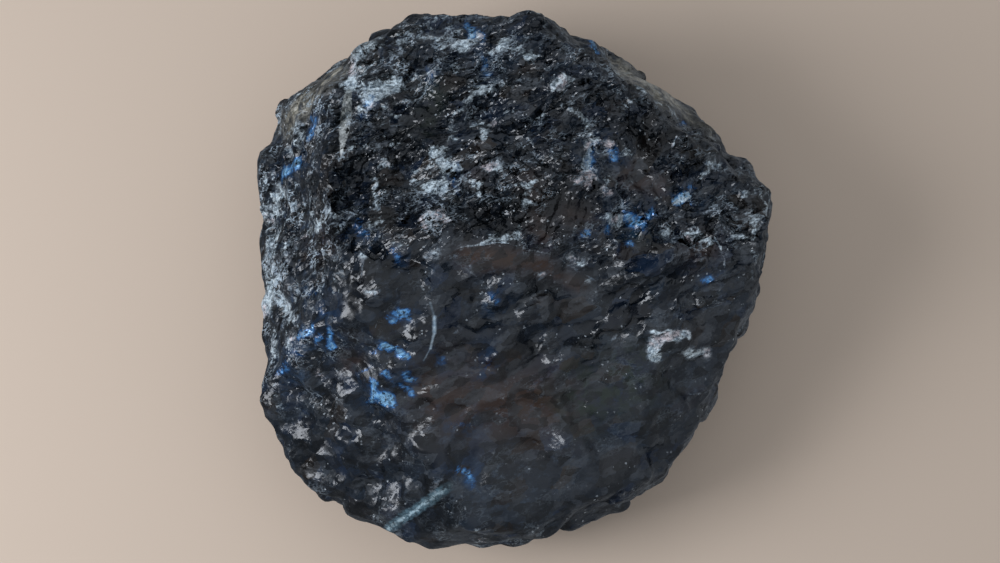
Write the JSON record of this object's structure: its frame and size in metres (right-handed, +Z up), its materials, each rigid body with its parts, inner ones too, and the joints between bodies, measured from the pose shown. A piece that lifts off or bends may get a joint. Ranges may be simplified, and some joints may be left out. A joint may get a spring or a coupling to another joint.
{
  "type": "rough labradorite chunk",
  "caption": "Rough chunk of dark labradorite with a hackly top, a lower front slope, stepped ledges and a spur at one side, lying on a flat broken face.",
  "frame": {"origin": "on the table, under the middle of the stone's bounding box", "axes": "+Z up, out of the hackly top; +X towards the spur; +Y towards the high back half, along the longest side of the box"},
  "size_m": [0.0936, 0.0974, 0.0473],
  "materials": {
    "labradorite": "satin"
  },
  "bodies": {
    "root": {"labradorite_chunk": "labradorite"}
  },
  "joints": []
}
